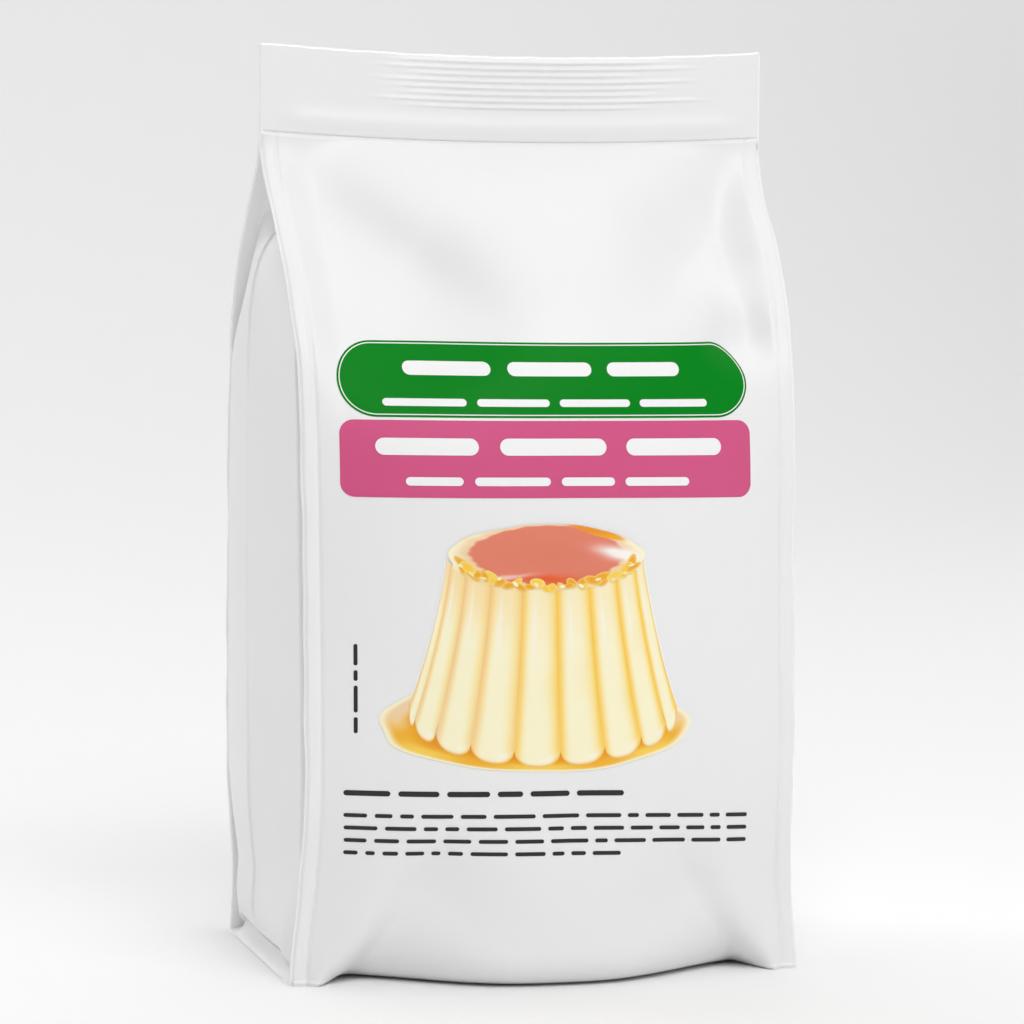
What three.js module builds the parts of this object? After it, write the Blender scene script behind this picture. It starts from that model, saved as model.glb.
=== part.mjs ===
// A shut, filled bag of dessert powder: a white laminated-film pouch with side gussets, four welded
// corner fins, a flat weld band across the top and a flat bottom with four corner feet.
// Millimetres, +Z up, the front panel facing -Y, the origin on the ground under the middle.
//
// The bag is one closed body. Every level has one outline, which runs round the front panel, a corner fin,
// the right gusset, a fin, the back panel, a fin, the left gusset and the last fin. The levels are stacked
// and joined into a skin. Near the top the gussets fold inwards and close, and the outline becomes the band.

import * as THREE from 'three';
import { mergeVertices } from 'three/addons/utils/BufferGeometryUtils.js';

// Driving dimensions.
const PANEL_WIDTH = 115;         // flat width of the front and back panels, fins included
const HEIGHT = 202;              // ground to the band's corners
const BAND_HEIGHT = 19.5;        // top weld, crease to edge
const BAND_DIP = 2.1;            // how far the band's edge dips in the middle
const SEAL_THICKNESS = 1.0;      // welded layers of film, in the band and the fins
const FIN_WIDTH = 3.5;           // corner weld strips
const FLANGE_HEIGHT = 4.8;       // weld strip along the foot of each gusset
const FLANGE_HALF_WIDTH = 57;    // the strips' ground edges, from the middle of the bag
const GUSSET_BULGE = 7.2;        // how far a full gusset stands out from its corners
const GUSSET_TUCK = 38;          // how deep a gusset is folded in under the band
const OPEN_DROP = 3;             // below the crease, where the gussets start to open

// Each panel from the plane of the band. Filling the bag pulls its fins in by `waist` at the most. The
// bag packs down on a foot `footDepth` from that plane, and the fins draw in or flare out to meet it.
const FRONT = {
  side: -1, reach: 52, cornerDepth: 36.4, openScale: 29, waist: 2.9, waistScale: 45, footDepth: 37, footFlare: 2.3,
};
const BACK = {
  side: 1, reach: 48.5, cornerDepth: 38, openScale: 26, waist: 0.6, waistScale: 30, footDepth: 34, footFlare: 0,
};
const PACKED_SPREAD = 4;         // how far the front fins spread where the powder packs
const PACKED_Z = 44;             // and at what height
const BACK_PINCH = 1.5;          // how far the back fins draw in above their feet
const BACK_PINCH_Z = 16;

// The roll between panel and bottom: at the middle, and beside the feet, where it is larger.
const ROLL_DEPTH = { middle: 10.4, besideFoot: 14.9 };
const ROLL_HEIGHT = { middle: 9, besideFoot: 20 };
const FOOT_START = 0.86;         // where a foot starts on the ground, as a share of the half panel
const FOOT_SLANT = 0.013;        // how much nearer the middle that is for each millimetre up

// The shallow valleys from the band's ends down to the middle of each panel.
const VALLEY = { depth: 1.3, drop: 44, rise: 40, width: 9 };

// How finely the skin is cut.
const LEVELS = 34;
const PANEL_STEPS = 30;
const GUSSET_STEPS = 10;

const CREASE_Z = HEIGHT - BAND_HEIGHT;
const HALF_WIDTH = PANEL_WIDTH / 2;
const HALF_SEAL = SEAL_THICKNESS / 2;
const BAND_Y = (FRONT.reach - BACK.reach) / 2;  // puts the middle of the bag's box on the origin
const SAME_POINT = 1e-4;

const { lerp, smoothstep } = THREE.MathUtils;

// 0 at and above the crease, 1 far below it: how far the film has opened. Most of it happens over `scale`.
const opened = (z, scale, power) => 1 - Math.exp(-Math.pow(Math.max(CREASE_Z - z, 0) / scale, power));

// A bell of height 1 at `middle`.
const bell = (value, middle, width) => Math.exp(-Math.pow((value - middle) / width, 2));

// Band plane to the middle of a corner fin's thickness.
function finDepth(z, panel) {
  const upper = panel.cornerDepth * opened(z, panel.openScale, 1.7);
  const foot = (panel.footDepth - panel.cornerDepth) * bell(z, 0, 10);
  const spreadWidth = z > PACKED_Z ? 45 : 20;
  const spread = panel === FRONT ? PACKED_SPREAD * bell(z, PACKED_Z, spreadWidth) : 0;
  return upper + foot + spread;
}

// Middle of the bag to a fin's outer edge.
function finEdge(z, panel) {
  const filled = HALF_WIDTH - panel.waist * opened(z, panel.waistScale, 1.3);
  const pinch = panel === BACK ? BACK_PINCH * bell(z, BACK_PINCH_Z, 14) : 0;
  return filled + panel.footFlare * bell(z, 0, 18) - pinch;
}

// Middle of the bag to the line where fin, panel and gusset meet.
const weldLine = (z, panel) => finEdge(z, panel) - FIN_WIDTH;

// How far a panel rolls under towards the ground. The feet stay flat: each lies outside a line that slants
// up towards the middle. `across` is -1 at one weld line and 1 at the other.
function rollUnder(across, z) {
  const outward = Math.abs(across);
  const depth = lerp(ROLL_DEPTH.middle, ROLL_DEPTH.besideFoot, smoothstep(outward, 0.1, 0.7));
  const height = lerp(ROLL_HEIGHT.middle, ROLL_HEIGHT.besideFoot, smoothstep(outward, 0.2, 0.8));
  const footLine = FOOT_START - FOOT_SLANT * z;
  const onBelly = 1 - smoothstep(outward, footLine - 0.03, footLine + 0.11 + 0.01 * z);
  const below = Math.max(1 - z / height, 0);
  return depth * (1 - Math.sqrt(1 - below * below)) * onBelly;
}

function valleyDepth(across, z) {
  const outward = Math.abs(across);
  const line = CREASE_Z - VALLEY.drop + VALLEY.rise * outward;
  const ends = smoothstep(outward, 0.02, 0.3) * (1 - smoothstep(outward, 0.8, 1));
  return VALLEY.depth * bell(z, line, VALLEY.width) * ends;
}

// A point of the front or back panel, measured from the middle of the band.
function panelPoint(across, z, panel) {
  const fin = finDepth(z, panel);
  const fullest = panel.reach * opened(z, 34, 1.2);
  const belly = Math.max(fullest - fin, 0) * (1 - Math.pow(Math.abs(across), 2.2));
  const depth = fin + HALF_SEAL + belly - rollUnder(across, z) - valleyDepth(across, z);
  return [across * weldLine(z, panel), panel.side * depth];
}

// How far a gusset stands out from the line between its corners, as two flat halves with a soft ridge
// between them. Under the band it is below 0: the gusset is folded in. `along` is -1 at the front corner
// and 1 at the back one.
function gussetOffset(along, z) {
  const inward = Math.abs(along);
  const lowDown = 1 - Math.exp(-Math.pow((z + 1.5) / 17, 1.2));
  const bulge = GUSSET_BULGE * opened(z, 30, 1.6) * lowDown;
  const tuck = GUSSET_TUCK * Math.exp(-Math.pow(Math.max(CREASE_Z - z, 0) / 10.5, 1.25));
  return bulge * (0.6 * (1 - inward) + 0.4 * (1 - inward * inward)) - tuck * (1 - inward);
}

// The weld strip's height at a point along the gusset. It runs out towards the corners.
const flangeTop = (along) => FLANGE_HEIGHT * (1 - 0.8 * smoothstep(Math.abs(along), 0.6, 0.95));

// A point of the right-hand gusset.
function gussetPoint(along, z) {
  const share = (along + 1) / 2;
  const corner = lerp(weldLine(z, FRONT), weldLine(z, BACK), share);
  const wall = corner + gussetOffset(along, z);
  const flared = Math.max(1 - z / flangeTop(along), 0);
  const y = lerp(HALF_SEAL - finDepth(z, FRONT), finDepth(z, BACK) - HALF_SEAL, share);
  return [lerp(wall, FLANGE_HALF_WIDTH, flared), y];
}

// The right-hand side of one outline: front fin, gusset, back fin. Where the layers are still welded
// together, all but its two ends is one point on the band's edge.
function sideOutline(z) {
  const front = [finEdge(z, FRONT), finDepth(z, FRONT)];
  const back = [finEdge(z, BACK), finDepth(z, BACK)];
  const inner = [[front[0], HALF_SEAL - front[1]]];
  for (let step = 0; step <= GUSSET_STEPS; step += 1) {
    inner.push(gussetPoint(2 * step / GUSSET_STEPS - 1, z));
  }
  inner.push([back[0], back[1] - HALF_SEAL]);
  const shut = z > CREASE_Z - OPEN_DROP;
  return [
    [front[0], -front[1] - HALF_SEAL],
    ...(shut ? inner.map(() => [front[0], 0]) : inner),
    [back[0], back[1] + HALF_SEAL],
  ];
}

// Steps across a panel lie closer together near the fins.
const acrossAt = (step) => Math.sin(1.25 * (2 * step / PANEL_STEPS - 1)) / Math.sin(1.25);

function panelOutline(z, panel) {
  const points = [];
  for (let step = 0; step <= PANEL_STEPS; step += 1) {
    points.push(panelPoint(acrossAt(step), z, panel));
  }
  return points;
}

// The whole outline of one level, anticlockwise seen from above. Upper levels dip in the middle.
function levelOutline(z) {
  const right = sideOutline(z);
  const left = right.map(([x, y]) => [-x, y]).reverse();
  const outline = [...panelOutline(z, FRONT), ...right, ...panelOutline(z, BACK).reverse(), ...left];
  const dip = BAND_DIP * Math.pow(smoothstep(z, 100, HEIGHT), 1.5);
  return outline.map(([x, y]) => {
    const across = x / HALF_WIDTH;
    return [x, y + BAND_Y, z - dip * Math.max(1 - across * across, 0)];
  });
}

// Levels from the ground to the top edge: close together in the roll at the ground and under the band.
function levelHeights() {
  const openTop = CREASE_Z - OPEN_DROP;
  const heights = [];
  for (let level = 0; level <= LEVELS; level += 1) {
    heights.push(openTop * (1 - Math.cos(Math.PI * level / LEVELS)) / 2);
  }
  return [...heights, CREASE_Z - OPEN_DROP / 2, CREASE_Z, CREASE_Z + BAND_HEIGHT / 2, HEIGHT];
}

// Triangles between two neighbouring outlines of `count` points, the lower one starting at `first`.
function wallBetween(first, count) {
  const triangles = [];
  for (let i = 0; i < count; i += 1) {
    const a = first + i;
    const b = first + (i + 1) % count;
    triangles.push([a, b, b + count], [a, b + count, a + count]);
  }
  return triangles;
}

// The flat bottom inside the lowest outline, facing down.
function bottomLid(outline) {
  const corners = outline.map(([x, y]) => new THREE.Vector2(x, y));
  return THREE.ShapeUtils.triangulateShape(corners, []).map(([a, b, c]) => [a, c, b]);
}

// The band's top edge, as a ladder between its front and its back, which starts at the middle of the left
// side and works to the right.
function topLid(first, count) {
  const sideCount = GUSSET_STEPS + 5;
  const start = count - (sideCount + 1) / 2;
  const triangles = [];
  for (let rung = 0; rung < count / 2; rung += 1) {
    const [a, b] = [rung, rung + 1].map((step) => first + (start + step) % count);
    const [d, c] = [rung, rung + 1].map((step) => first + (start - step + count) % count);
    triangles.push([a, b, c], [a, c, d]);
  }
  return triangles;
}

// The closed skin. Points that coincide become one, and triangles that this flattens are dropped.
function skinGeometry(outlines) {
  const count = outlines[0].length;
  const last = outlines.length - 1;
  const walls = outlines.slice(0, last).map((outline, level) => wallBetween(level * count, count));
  const triangles = [...walls.flat(), ...bottomLid(outlines[0]), ...topLid(last * count, count)];
  const loose = new THREE.BufferGeometry();
  loose.setAttribute('position', new THREE.Float32BufferAttribute(outlines.flat(2), 3));
  loose.setIndex(triangles.flat());
  const geometry = mergeVertices(loose, SAME_POINT);
  const index = geometry.getIndex().array;
  const kept = [];
  for (let i = 0; i < index.length; i += 3) {
    const [a, b, c] = index.slice(i, i + 3);
    if (a !== b && b !== c && c !== a) {
      kept.push(a, b, c);
    }
  }
  geometry.setIndex(kept);
  geometry.computeVertexNormals();
  return geometry;
}

const film = new THREE.MeshStandardMaterial({ color: 0xf2f2f0, roughness: 0.45, metalness: 0 });
const pouch = new THREE.Mesh(skinGeometry(levelHeights().map(levelOutline)), film);
pouch.name = 'pouch';

const group = new THREE.Group();
group.add(pouch);

export default group;
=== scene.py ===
# %% [markdown]
# # A standing pouch of dessert powder
# The object is a shut, full bag of white laminated film. It stands on a flat bottom, has a gusset in each
# side, a welded fin down each of its four corners and a crimped weld across the top. The front carries
# a printed label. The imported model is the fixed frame, and every piece below is a surface in its space.

# %% Load the frame
import math

import bpy
import numpy as np
from mathutils import Euler, Matrix, Vector


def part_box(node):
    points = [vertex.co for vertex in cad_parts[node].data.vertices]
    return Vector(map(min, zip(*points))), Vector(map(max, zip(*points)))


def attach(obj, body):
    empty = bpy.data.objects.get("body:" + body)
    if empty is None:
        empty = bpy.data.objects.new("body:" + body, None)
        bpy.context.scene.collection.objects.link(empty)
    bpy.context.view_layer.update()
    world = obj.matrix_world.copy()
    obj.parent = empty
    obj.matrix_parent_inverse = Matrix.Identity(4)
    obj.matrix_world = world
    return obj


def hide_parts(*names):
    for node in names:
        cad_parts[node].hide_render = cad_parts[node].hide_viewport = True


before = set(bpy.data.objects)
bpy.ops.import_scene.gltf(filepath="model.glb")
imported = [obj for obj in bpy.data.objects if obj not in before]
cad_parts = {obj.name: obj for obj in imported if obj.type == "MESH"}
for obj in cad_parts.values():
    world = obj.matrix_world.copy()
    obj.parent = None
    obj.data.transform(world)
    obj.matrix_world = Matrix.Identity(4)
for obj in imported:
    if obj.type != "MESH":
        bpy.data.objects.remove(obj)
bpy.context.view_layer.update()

# %% [markdown]
# ## The size of the bag
# The surfaces are worked out in millimetres and become metres as their mesh is made. The height comes
# from the frame. The other sizes are those of the solid that the bag replaces, so that the film lies
# where the solid's faces are.

# %% Driving sizes, in millimetres
MM = 0.001
pouch_low, pouch_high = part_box("pouch")
HEIGHT = (pouch_high.z - pouch_low.z) / MM
PANEL_WIDTH = 115
BAND_HEIGHT = 19.5
BAND_DIP = 2.1
SEAL_THICKNESS = 1.0
FIN_WIDTH = 3.5
FLANGE_HEIGHT = 4.8
FLANGE_HALF_WIDTH = 57
GUSSET_BULGE, GUSSET_SHOULDER = 7.2, 3.4
GUSSET_TUCK = 38
FRONT = dict(side=-1, reach=52, corner=36.4, open=29, waist=2.9, waist_open=45, foot=37, flare=2.3)
BACK = dict(side=1, reach=48.5, corner=38, open=26, waist=0.6, waist_open=30, foot=34, flare=0)
FIN_POWER, FOOT_RISE = 1.7, 10
PACKED_SPREAD, PACKED_Z = 4, 44
PACKED_ABOVE, PACKED_BELOW = 45, 20
WAIST_POWER, FLARE_RISE = 1.3, 18
BACK_PINCH, BACK_PINCH_Z, BACK_PINCH_RISE = 1.5, 16, 14
BELLY_OPEN, BELLY_OPEN_POWER, BELLY_POWER = 34, 1.2, 2.2
ROLL_DEPTH = (10.4, 17)
ROLL_HEIGHT = (9, 22)
ROLL_POWER = 2.5
FOOT_START, FOOT_SLANT = 0.86, 0.013
VALLEY_DEPTH, VALLEY_DROP, VALLEY_RISE = 1.5, 48, 40
VALLEY_ABOVE, VALLEY_BELOW = 9, 13

CREASE_Z = HEIGHT - BAND_HEIGHT
HALF_WIDTH = PANEL_WIDTH / 2
HALF_SEAL = SEAL_THICKNESS / 2
RIM = HALF_SEAL
BAND_Y = (FRONT["reach"] - BACK["reach"]) / 2
print("height", round(HEIGHT, 2), "crease at", round(CREASE_Z, 2))

# %% [markdown]
# ## Curves that everything is made of
# A bag has no straight lines, but few rules shape it: it opens below the crease, it swells, and it rolls
# under at the ground. Each rule is a short function of whole arrays, so one call gives a whole surface.

# %% Blending curves


def smooth(value, start, end):
    """0 before start, 1 after end, and 3t^2 - 2t^3 between them."""
    share = np.clip((value - start) / (end - start), 0, 1)
    return share * share * (3 - 2 * share)


def bell(value, middle, width):
    """A bell of height 1: e to the power of minus the squared distance from middle, in widths."""
    return np.exp(-(((value - middle) / width) ** 2))


def blend(a, b, share):
    """a at share 0 and b at share 1, on a straight line."""
    return a + (b - a) * share


def opened(z, scale, power):
    """0 at the crease and 1 far below it: 1 minus e to the power of -(drop / scale)^power."""
    return 1 - np.exp(-((np.maximum(CREASE_Z - z, 0) / scale) ** power))


def waves(value, lengths, seed):
    """A soft uneven line from -1 to 1: the mean of sines of these lengths in mm, each with its own start,
    which the seed draws."""
    starts = np.random.default_rng(seed).uniform(0, math.tau, len(lengths))
    return sum(np.sin(math.tau * value / n + s) for n, s in zip(lengths, starts)) / len(lengths)


# %% The corner fins, seen from above
def fin_depth(z, panel):
    """Band plane to the middle of a fin: it opens under the crease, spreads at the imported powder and
    ends at the foot."""
    upper = panel["corner"] * opened(z, panel["open"], FIN_POWER)
    foot = (panel["foot"] - panel["corner"]) * bell(z, 0, FOOT_RISE)
    spread = PACKED_SPREAD * bell(z, PACKED_Z, np.where(z > PACKED_Z, PACKED_ABOVE, PACKED_BELOW))
    return upper + foot + (spread if panel is FRONT else 0)


def fin_edge(z, panel):
    """Middle of the bag to a fin's cut edge: the flat half width, less the waist, plus the foot's flare.
    The back's lower corners are pinched in a little."""
    filled = HALF_WIDTH - panel["waist"] * opened(z, panel["waist_open"], WAIST_POWER)
    pinch = BACK_PINCH * bell(z, BACK_PINCH_Z, BACK_PINCH_RISE) if panel is BACK else 0
    return filled + panel["flare"] * bell(z, 0, FLARE_RISE) - pinch


def weld_line(z, panel):
    """Middle of the bag to the line where fin, panel and gusset meet."""
    return fin_edge(z, panel) - FIN_WIDTH


# %% The panel's own curves
def roll_under(across, z):
    """How far a panel rolls in towards the ground: a quarter of a superellipse of power 2.5, larger
    beside the feet, which stay out and flat."""
    outward = np.abs(across)
    depth = blend(*ROLL_DEPTH, smooth(outward, 0.1, 0.7))
    height = blend(*ROLL_HEIGHT, smooth(outward, 0.2, 0.8))
    foot_line = FOOT_START - FOOT_SLANT * z
    on_belly = 1 - smooth(outward, foot_line - 0.03, foot_line + 0.11 + 0.01 * np.minimum(z, 60))
    below = np.clip(1 - z / height, 0, 1)
    return depth * (1 - (1 - below**ROLL_POWER) ** (1 / ROLL_POWER)) * on_belly


def valley_depth(across, z):
    """The shallow valley from each end of the band down to the middle of the panel. Its upper bank is
    steeper than its lower one."""
    outward = np.abs(across)
    line = CREASE_Z - VALLEY_DROP + VALLEY_RISE * outward
    ends = smooth(outward, 0.02, 0.72) * (1 - smooth(outward, 0.75, 1))
    return VALLEY_DEPTH * bell(z, line, np.where(z > line, VALLEY_ABOVE, VALLEY_BELOW)) * ends


def band_dip(x, z):
    """The band sags in its middle, and less so further down."""
    return BAND_DIP * smooth(z, 100, HEIGHT) ** 1.5 * np.maximum(1 - (x / HALF_WIDTH) ** 2, 0)


# %% [markdown]
# ## Small relief
# What makes film look like film is its relief: pleats that run down from the band's ends, a step where it
# leaves the weld, slanted crimp teeth in the band, a dull line where the jaws stopped at each fin and faint
# lumps over the powder. All of it is real depth in the mesh, because paint can't catch the light.

# %% Dents
FIN_STIFFNESS, STIFF_PLACE = 0.85, (45, 54)

# from x, from z, to x, to z, depth, half width above the line, half width below it, growth on the way
FRONT_DENTS = (
    (-62.0, 174.0, -30, 152.0, 12.0, 9.0, 14.0, 1.5),
    (60.0, 173.0, 36, 156.0, 14.0, 8.0, 3.6, 1.7),
    (62.0, 160.0, 44, 153.0, 7.0, 4.0, 4.0, 1.5),
    (66.0, 141.0, 44, 138.0, 8.0, 11.0, 6.0, 1.0),
    (-41.5, 1.0, -31, 20.0, 4.2, 3.2, 11.0, 1.7),
    (43.0, 1.0, 31, 18.0, 3.8, 3.2, 11.0, 1.7),
)
BACK_DENTS = (
    (-60.0, 175.0, -34, 160.0, 4.0, 7.0, 3.4, 1.7),
    (60.0, 173.0, 34, 156.0, 3.6, 7.0, 5.0, 1.6),
    (46.0, 150.0, 38, 126.0, 1.3, 8.0, 9.0, 1.3),
    (-44.0, 140.0, -36, 120.0, 1.2, 8.0, 9.0, 1.3),
    (-41.0, 1.0, -30, 20.0, 2.4, 3.4, 9.0, 1.6),
    (41.0, 1.0, 30, 21.0, 2.4, 3.4, 9.0, 1.6),
)


def dents(x, z, panel):
    """The sum of soft troughs. Each has its depth on a line and falls off as a bell to both sides of it,
    with a width for each side. It also falls off past the line's ends and beside the fins, whose welded
    film is stiffer."""
    total = np.zeros(np.broadcast(x, z).shape)
    for x0, z0, x1, z1, depth, above, below, growth in FRONT_DENTS if panel is FRONT else BACK_DENTS:
        length = math.hypot(x1 - x0, z1 - z0)
        run_x, run_z = (x1 - x0) / length, (z1 - z0) / length
        along = (x - x0) * run_x + (z - z0) * run_z
        over = ((z - z0) * run_x - (x - x0) * run_z) * math.copysign(1, run_x)
        width = np.where(over > 0, above, below) * blend(1, growth, np.clip(along / length, 0, 1))
        past = np.maximum(along - length, 0) + np.maximum(-along, 0)
        total = total + depth * bell(over, 0, width) * bell(past, 0, 0.5 * (above + below) * growth)
    return total * (1 - FIN_STIFFNESS * smooth(np.abs(x), *STIFF_PLACE))


def pressed_in(amount, room):
    """A dent of this amount where the film has this much room behind it, which it never passes: the room
    times 1 minus e to the power of -(amount / room)."""
    room = np.maximum(room, 1e-6)
    return room * (1 - np.exp(-amount / room))


# %% Lumps of powder, crimp teeth, the step, the swell and weld lines
LUMP_HEIGHT = 0.1
TOOTH_PITCH, TOOTH_DEPTH, TOOTH_COUNT = 1.45, 0.55, 8
FIRST_TOOTH = 0.5
CRIMP_START, CRIMP_END = (-34, -12), (23, 42)
STEP_OUT, STEP_DROP = 0.6, 0.7
STEP_HOLLOW, HOLLOW_PLACE, HOLLOW_WIDTH = 0.42, 0.2, 0.2
SWELL, SWELL_PLACE, SWELL_WIDTH, SWELL_ENDS = 0.7, 3.4, 2.2, (46, 55)
WELD_GROOVE, WELD_GROOVE_WIDTH = 0.34, 0.42
FIN_LIP, LIP_PLACE, LIP_WIDTH = 0.22, 0.86, 0.1
HEM, HEM_PLACE, HEM_WIDTH = 0.35, 0.7, 0.4


def lumps(x, z, panel):
    """Powder under the film: waves that run aslant each other, gone at the welds and under the band."""
    seed = 11 if panel is FRONT else 12
    a = waves(x + 0.6 * z, (23, 31, 47), seed) * waves(z - 0.5 * x, (19, 37, 53), seed + 2)
    return LUMP_HEIGHT * a * smooth(CREASE_Z - z, 6, 30) * (1 - smooth(np.abs(x), 40, 53))


def crimp(x, z):
    """Slanted teeth across the band. Each leans out for three fifths of its pitch as it goes down and
    then drops back. A tooth fades out where the jaws were cooler, each at its own place."""
    below_edge = HEIGHT - FIRST_TOOTH - z
    number = np.floor(below_edge / TOOTH_PITCH)
    tooth = np.mod(below_edge / TOOTH_PITCH, 1)
    lean = smooth(tooth, 0, 0.6) * (1 - smooth(tooth, 0.6, 1))
    rows = (below_edge > 0) & (below_edge < TOOTH_COUNT * TOOTH_PITCH)
    shift = 3.5 * np.sin(2.4 * number)
    pressed = smooth(x + shift, *CRIMP_START) * (1 - smooth(x - 2 * shift, *CRIMP_END))
    return TOOTH_DEPTH * lean * rows * pressed


def step_out(z):
    """The film steps out where it leaves the weld, and there is a thin hollow just over the step."""
    hollow = STEP_HOLLOW * bell(z - CREASE_Z, HOLLOW_PLACE, HOLLOW_WIDTH)
    return STEP_OUT * smooth(CREASE_Z - z, 0, STEP_DROP) - hollow


def band_swell(x, z):
    """The weld bows out a little over the crease, as a bell of the height, but not at the band's ends."""
    return SWELL * bell(z - CREASE_Z, SWELL_PLACE, SWELL_WIDTH) * (1 - smooth(np.abs(x), *SWELL_ENDS))


def hem(across, z):
    """A bead along the ground edge of the flat feet, where the bottom is welded on."""
    return HEM * bell(z, HEM_PLACE, HEM_WIDTH) * smooth(np.abs(across), FOOT_START - 0.1, FOOT_START)


def lip(strip, z):
    """The knife squeezes a low bead along a fin's cut edge, below the band."""
    return FIN_LIP * bell(strip, LIP_PLACE, LIP_WIDTH) * smooth(CREASE_Z - z, 1, 8)


def weld_groove(from_weld):
    """The dull line that the jaws leave along a fin."""
    return WELD_GROOVE * bell(from_weld, 0, WELD_GROOVE_WIDTH)


# %% The fins' wavy cut edges
def fin_wave(z, panel, side):
    """How far a cut edge strays outwards and sideways: soft waves, still at the crease and the ground."""
    seed = 20 + panel["side"] + 10 * side
    calm = smooth(z, 3, 22) * smooth(CREASE_Z - z, 4, 20)
    outward = 0.22 * waves(z, (17, 29, 41), seed)
    sideways = 0.35 * waves(z, (26, 43, 71), seed + 5)
    return outward * calm, sideways * calm


# %% [markdown]
# ## The front and back film
# Each is one sheet from a cut edge over the fin, the weld line, the full belly and the other fin, and from
# the ground up over the crease to the band's top. A grid is enough: one parameter runs across the sheet
# and one up it. The grid is finer at the crease, the teeth and the welds, where the relief is small.


# %% A point of the front or back film
def film_surface(r, z, panel):
    """r is -1 and 1 at the weld lines and -2 and 2 at the cut edges. Depth is the fin's depth, plus a belly
    that falls to 0 at the welds with the power 2.2 of r, less the roll, the valley and the dents. The
    small relief is added to it, and a point's height sags with the band."""
    across = np.clip(r, -1, 1)
    strip = np.clip(np.abs(r) - 1, 0, 1)
    weld = weld_line(z, panel)
    fin = fin_depth(z, panel)
    swollen = np.maximum(panel["reach"] * opened(z, BELLY_OPEN, BELLY_OPEN_POWER) - fin, 0)
    belly = swollen * (1 - np.abs(across) ** BELLY_POWER)
    x = across * weld
    on_panel = np.where(z < CREASE_Z, 1 - strip, 0)
    depth = fin + HALF_SEAL + belly - roll_under(across, z)
    depth = depth - pressed_in(valley_depth(across, z) + dents(x, z, panel), fin + belly)
    depth = depth + step_out(z) * (1 - strip**4) + lumps(x, z, panel) * (1 - strip)
    depth = depth + crimp(x, z) + band_swell(x, z) + lip(strip, z) + hem(across, z)
    from_weld = (1 - np.abs(across)) * weld + strip * (FIN_WIDTH - RIM)
    depth = depth - weld_groove(from_weld) * on_panel**0.5
    out_l, aside_l = fin_wave(z, panel, -1)
    out_r, aside_r = fin_wave(z, panel, 1)
    outward, aside = np.where(r < 0, out_l, out_r), np.where(r < 0, aside_l, aside_r)
    x = x + np.sign(r) * strip * (FIN_WIDTH - RIM + outward)
    y = panel["side"] * (depth + strip * aside)
    cut = 0.14 * waves(x, (3.1, 5.3, 11, 17), 4) * smooth(z, HEIGHT - 2, HEIGHT - RIM)
    return np.stack([x, y + BAND_Y, z - band_dip(x, z) + cut + 0 * y], axis=-1)


# %% Rows and columns
def steps(*stretches):
    """Joins stretches (start, end, step) into one rising array with no value twice."""
    parts = [np.linspace(a, b, max(int(round((b - a) / s)), 1), endpoint=False) for a, b, s in stretches]
    return np.concatenate([*parts, [stretches[-1][1]]])


def across_steps(count):
    """-1 to 1, closer together near the welds: the sine of an even step, scaled to end at 1."""
    return np.sin(1.25 * np.linspace(-1, 1, count)) / math.sin(1.25)


SHUT_Z = CREASE_Z - 2.2
CRIMP_Z = HEIGHT - 13
BODY_ROWS = steps((0, 6.6, 0.12), (6.6, 26, 0.6), (26, 140, 1.1), (140, 176, 0.6), (176, SHUT_Z, 0.3))
AT_CREASE, UNDER_CRIMP = (SHUT_Z, CREASE_Z + 1.5, 0.1), (CREASE_Z + 1.5, CRIMP_Z, 0.5)
BAND_ROWS = steps(AT_CREASE, UNDER_CRIMP, (CRIMP_Z, HEIGHT - RIM, 0.11))
FILM_ROWS = np.concatenate([BODY_ROWS, BAND_ROWS[1:]])
STRIP_STEPS = np.linspace(1, 2, 9)[1:]


def film_columns(count):
    """Columns of a whole sheet: left fin, panel, right fin."""
    return np.concatenate([-STRIP_STEPS[::-1], across_steps(count), STRIP_STEPS])


print(len(FILM_ROWS), "rows, of which", len(BODY_ROWS), "below the band")

# %% [markdown]
# ## The gussets and the fins' inner sides
# A gusset is the film between two fins. It is folded inwards under the band, opens into two flat halves
# with a soft ridge between them, and ends at the ground in a weld strip that stands out. Its sheet also
# takes in the fins' rounded cut edges, so that the bag's skin is closed there.


# %% A point of a gusset
SHOULDER_PLACE, SHOULDER_POWER, SHOULDER_RISE = 0.045, 4, (26, 52)
TOP_BEAD, LOW_BEAD, BEAD_WIDTH = 0.8, 0.5, 0.36
STRIP_GROOVE, STRIP_SWELL = 0.9, 1.9


def gusset_offset(along, z):
    """How far a gusset stands out from the line between its corners. Below the bag's top the powder
    pushes it out in a steep shoulder beside each fin, and two flat halves meet between them in a soft
    ridge. Under the band it is folded in, less so with each millimetre below the crease."""
    inward = 1 - np.abs(along)
    filled = opened(z, 30, 1.6) * (1 - np.exp(-(((z + 1.5) / 17) ** 1.2)))
    shoulder = GUSSET_SHOULDER * smooth(CREASE_Z - z, *SHOULDER_RISE)
    step = 1 - np.exp(-((inward / SHOULDER_PLACE) ** SHOULDER_POWER))
    halves = (GUSSET_BULGE - shoulder) * (0.4 * inward + 0.6 * (1 - along**2))
    tuck = GUSSET_TUCK * np.exp(-((np.maximum(CREASE_Z - z, 0) / 13.5) ** 1.75))
    return filled * (shoulder * step + halves) - tuck * inward


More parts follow.
